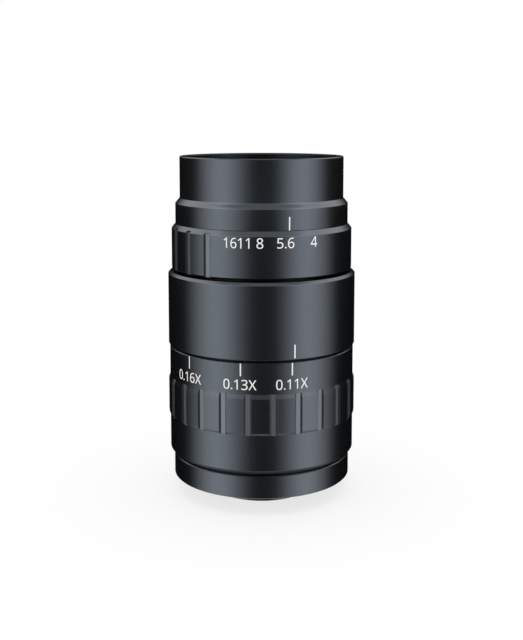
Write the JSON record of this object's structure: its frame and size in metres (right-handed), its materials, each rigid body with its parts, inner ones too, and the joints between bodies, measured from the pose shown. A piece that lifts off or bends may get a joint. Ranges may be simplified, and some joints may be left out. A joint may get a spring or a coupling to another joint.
{
  "type": "macro lens",
  "caption": "Macro lens with a fluted magnification ring that draws the lens head in and out, an aperture ring with a bladed iris, a camera thread and a filter thread.",
  "frame": {"origin": "centre of the camera thread's end face", "axes": "+Z along the optical axis towards the object; -Y is the side with the scales"},
  "size_m": [0.0462, 0.0462, 0.083],
  "materials": {
    "black_anodised": "satin black anodised",
    "ring_anodised": "satin black anodised, white filled marks",
    "matt_black": "matt black anodised",
    "inner_aluminium": "fine turned, black anodised",
    "coated_glass": "polished, anti-reflection coated",
    "screw_steel": "blackened steel",
    "blade_steel": "blued spring steel",
    "brass": "turned",
    "white_washer": "low-friction sheet"
  },
  "bodies": {
    "base": {"mount_ring": "black_anodised", "mount_screws": "screw_steel", "rear_barrel": "black_anodised", "rear_baffle": "matt_black", "guide_tube": "inner_aluminium", "middle_barrel": "black_anodised", "thrust_washer": "white_washer"},
    "magnification_ring": {"magnification_ring": "ring_anodised", "cam_sleeve": "inner_aluminium", "cam_lock_ring": "inner_aluminium"},
    "lens_head": {"head_sleeve": "inner_aluminium", "cam_rollers": "brass", "roller_screws": "screw_steel", "front_barrel": "black_anodised", "front_cell": "matt_black", "front_element": "coated_glass", "front_spacer": "matt_black", "front_doublet_crown": "coated_glass", "front_doublet_flint": "coated_glass", "front_retaining_ring": "matt_black", "rear_cell": "matt_black", "rear_doublet_flint": "coated_glass", "rear_doublet_crown": "coated_glass", "rear_spacer": "matt_black", "rear_element": "coated_glass", "rear_retaining_ring": "matt_black", "iris_housing": "matt_black", "iris_retaining_ring": "matt_black"},
    "aperture_ring": {"aperture_ring": "ring_anodised", "iris_drive_ring": "matt_black", "drive_pin": "screw_steel"},
    "iris_blade_1": {"iris_blade_1": "blade_steel"},
    "iris_blade_2": {"iris_blade_2": "blade_steel"},
    "iris_blade_3": {"iris_blade_3": "blade_steel"},
    "iris_blade_4": {"iris_blade_4": "blade_steel"},
    "iris_blade_5": {"iris_blade_5": "blade_steel"},
    "iris_blade_6": {"iris_blade_6": "blade_steel"},
    "iris_blade_7": {"iris_blade_7": "blade_steel"},
    "iris_blade_8": {"iris_blade_8": "blade_steel"}
  },
  "joints": [
    {"name": "magnification_turn", "type": "hinge", "parent": "base", "child": "magnification_ring", "pos_m": [0, 0, 0.026], "axis": [0, 0, 1], "range_deg": [0, 70.01]},
    {"name": "head_slide", "type": "slide", "parent": "base", "child": "lens_head", "axis": [0, 0, 1], "range_m": [0, 0.00343]},
    {"name": "aperture_turn", "type": "hinge", "parent": "lens_head", "child": "aperture_ring", "pos_m": [0, 0, 0.061], "axis": [0, 0, 1], "range_deg": [-15.5, 36.2]},
    {"name": "blade_1_turn", "type": "hinge", "parent": "lens_head", "child": "iris_blade_1", "pos_m": [0.0124, 0, 0.059], "axis": [0, 0, 1], "range_deg": [-7.98, 18.62]},
    {"name": "blade_2_turn", "type": "hinge", "parent": "lens_head", "child": "iris_blade_2", "pos_m": [0.00877, 0.00877, 0.059], "axis": [0, 0, 1], "range_deg": [-7.98, 18.62]},
    {"name": "blade_3_turn", "type": "hinge", "parent": "lens_head", "child": "iris_blade_3", "pos_m": [0, 0.0124, 0.059], "axis": [0, 0, 1], "range_deg": [-7.98, 18.62]},
    {"name": "blade_4_turn", "type": "hinge", "parent": "lens_head", "child": "iris_blade_4", "pos_m": [-0.00877, 0.00877, 0.059], "axis": [0, 0, 1], "range_deg": [-7.98, 18.62]},
    {"name": "blade_5_turn", "type": "hinge", "parent": "lens_head", "child": "iris_blade_5", "pos_m": [-0.0124, 0, 0.059], "axis": [0, 0, 1], "range_deg": [-7.98, 18.62]},
    {"name": "blade_6_turn", "type": "hinge", "parent": "lens_head", "child": "iris_blade_6", "pos_m": [-0.00877, -0.00877, 0.059], "axis": [0, 0, 1], "range_deg": [-7.98, 18.62]},
    {"name": "blade_7_turn", "type": "hinge", "parent": "lens_head", "child": "iris_blade_7", "pos_m": [0, -0.0124, 0.059], "axis": [0, 0, 1], "range_deg": [-7.98, 18.62]},
    {"name": "blade_8_turn", "type": "hinge", "parent": "lens_head", "child": "iris_blade_8", "pos_m": [0.00877, -0.00877, 0.059], "axis": [0, 0, 1], "range_deg": [-7.98, 18.62]}
  ],
  "couplings": [
    {"joint": "magnification_turn", "follows": "head_slide", "rad_per_m": 356.58},
    {"joint": "blade_1_turn", "follows": "aperture_turn", "ratio": 0.51403},
    {"joint": "blade_2_turn", "follows": "aperture_turn", "ratio": 0.51403},
    {"joint": "blade_3_turn", "follows": "aperture_turn", "ratio": 0.51403},
    {"joint": "blade_4_turn", "follows": "aperture_turn", "ratio": 0.51403},
    {"joint": "blade_5_turn", "follows": "aperture_turn", "ratio": 0.51403},
    {"joint": "blade_6_turn", "follows": "aperture_turn", "ratio": 0.51403},
    {"joint": "blade_7_turn", "follows": "aperture_turn", "ratio": 0.51403},
    {"joint": "blade_8_turn", "follows": "aperture_turn", "ratio": 0.51403}
  ]
}
